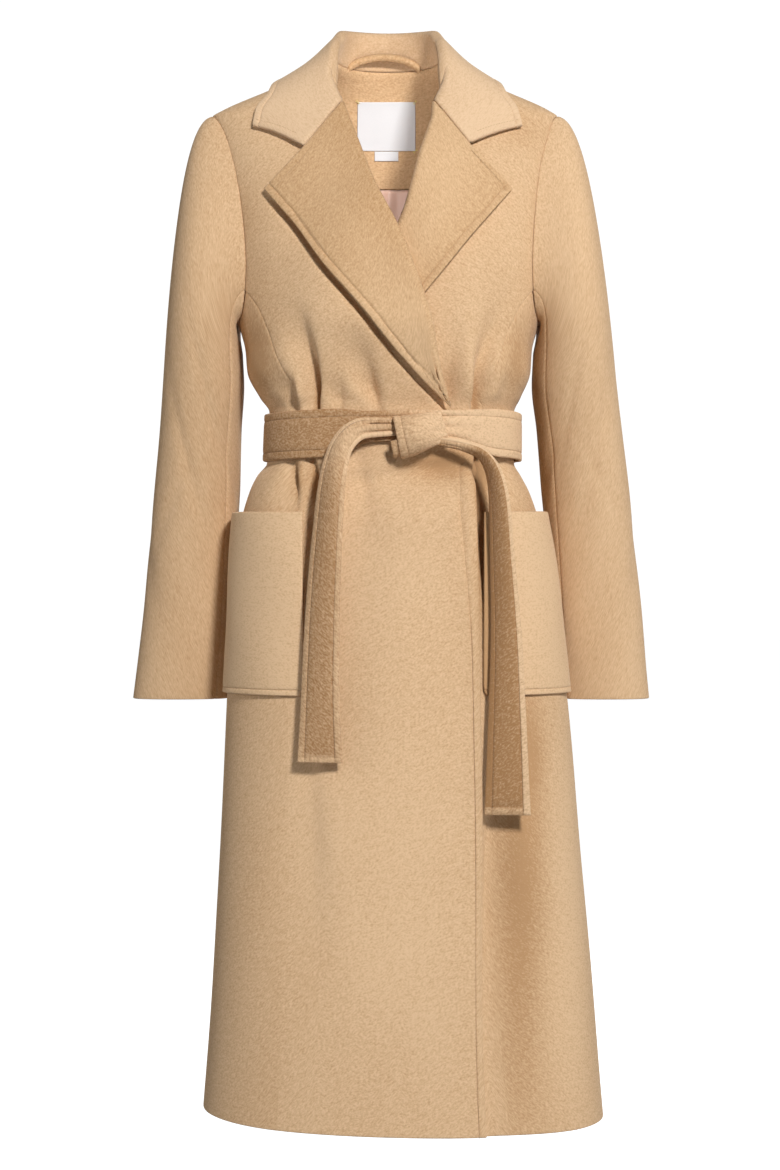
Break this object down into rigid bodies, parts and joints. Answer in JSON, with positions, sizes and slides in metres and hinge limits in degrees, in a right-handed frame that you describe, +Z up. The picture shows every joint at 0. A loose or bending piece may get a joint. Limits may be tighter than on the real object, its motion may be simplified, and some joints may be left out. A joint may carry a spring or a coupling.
{
  "type": "wool wrap coat",
  "caption": "Long wool wrap coat with a wide notched collar and lapels, patch pockets and a tied cloth belt, held in its worn shape with an open neck, cuffs and hem.",
  "frame": {"origin": "the back of the neck: the middle of the body from side to side, the line of the shoulder seams from front to back, the height of the back neck seam", "axes": "+Z up, the coat faces -Y, its left side (the wearer's) is at +X"},
  "size_m": [0.5755, 0.2982, 1.1878],
  "materials": {
    "coating_wool": "brushed camel coating wool, matt, with a short nap that lies downwards",
    "coating_wool_turned": "the same wool in two layers, turned and edge-stitched, its nap lying the other way",
    "lining_satin": "copper pink satin with a soft sheen",
    "label_cloth": "white woven tape, blank"
  },
  "bodies": {
    "root": {"back": "coating_wool", "side_body_right": "coating_wool", "side_body_left": "coating_wool", "front_right": "coating_wool", "front_left": "coating_wool", "top_sleeve_right": "coating_wool", "top_sleeve_left": "coating_wool", "under_sleeve_right": "coating_wool", "under_sleeve_left": "coating_wool", "back_neck_facing": "coating_wool", "hanger_loop": "coating_wool", "pocket_right": "coating_wool", "pocket_left": "coating_wool", "collar": "coating_wool_turned", "lapel_right": "coating_wool_turned", "lapel_left": "coating_wool_turned", "belt_band": "coating_wool_turned", "belt_knot": "coating_wool_turned", "belt_tail_right": "coating_wool_turned", "belt_tail_left": "coating_wool_turned", "back_lining": "lining_satin", "label": "label_cloth", "size_tag": "label_cloth"}
  },
  "joints": []
}
